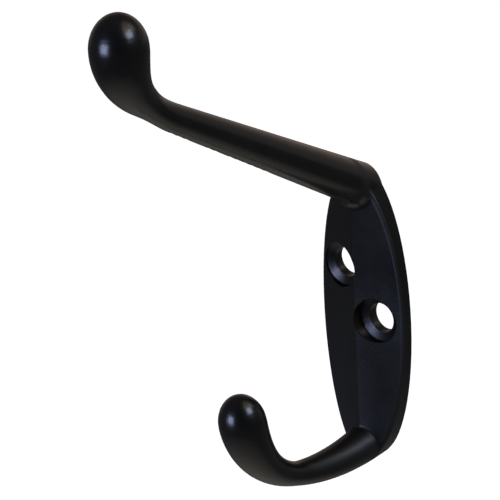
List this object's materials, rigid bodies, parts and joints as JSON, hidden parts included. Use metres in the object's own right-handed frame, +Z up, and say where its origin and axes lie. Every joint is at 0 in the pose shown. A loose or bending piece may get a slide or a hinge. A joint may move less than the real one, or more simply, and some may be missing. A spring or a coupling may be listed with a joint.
{
  "type": "coat hook",
  "caption": "Black one-piece wall coat hook: a faceted oval plate with slanted screw holes, a long upper arm and a short curled lower arm, both with knob ends.",
  "frame": {"origin": "centre of the plate's flat back face, on the wall plane", "axes": "+Z up along the plate, +Y into the wall, -Y out along the arms, +X to the right as seen facing the wall"},
  "size_m": [0.0184, 0.0642, 0.1002],
  "materials": {
    "black_powder_coat": "satin black powder coat on cast zinc"
  },
  "bodies": {
    "root": {"coat_hook": "black_powder_coat"}
  },
  "joints": []
}
